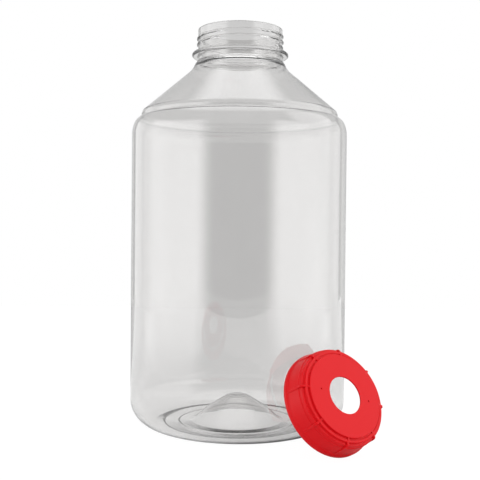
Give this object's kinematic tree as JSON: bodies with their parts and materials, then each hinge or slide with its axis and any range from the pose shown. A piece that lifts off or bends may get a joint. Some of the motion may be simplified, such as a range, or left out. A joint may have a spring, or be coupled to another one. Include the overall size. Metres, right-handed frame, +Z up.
{
  "type": "wide-mouth fermenter",
  "caption": "Clear wide-mouth fermenting jar with a conical shoulder and threaded neck, and its finned red screw lid with a stopper hole leaning against it.",
  "frame": {"origin": "on the floor, under the middle of the box that holds the jar and the leaning lid", "axes": "+Z up along the jar's axis, +X to the side where the lid leans, -Y towards the viewer"},
  "size_m": [0.3186, 0.3483, 0.5295],
  "materials": {
    "clear_plastic": "clear gloss",
    "red_plastic": "moulded satin",
    "seal": "soft matte"
  },
  "bodies": {
    "jar": {"jar": "clear_plastic"},
    "gasket": {"gasket": "seal"},
    "lid": {"lid": "red_plastic"}
  },
  "joints": [
    {"name": "lid_lift", "type": "slide", "parent": "jar", "child": "gasket", "axis": [0, 0, 1], "range_m": [0, 0.55]},
    {"name": "lid_turn", "type": "hinge", "parent": "gasket", "child": "lid", "pos_m": [0.10976, -0.13274, 0.07214], "axis": [0.5277, -0.6878, 0.4985], "continuous": true}
  ]
}
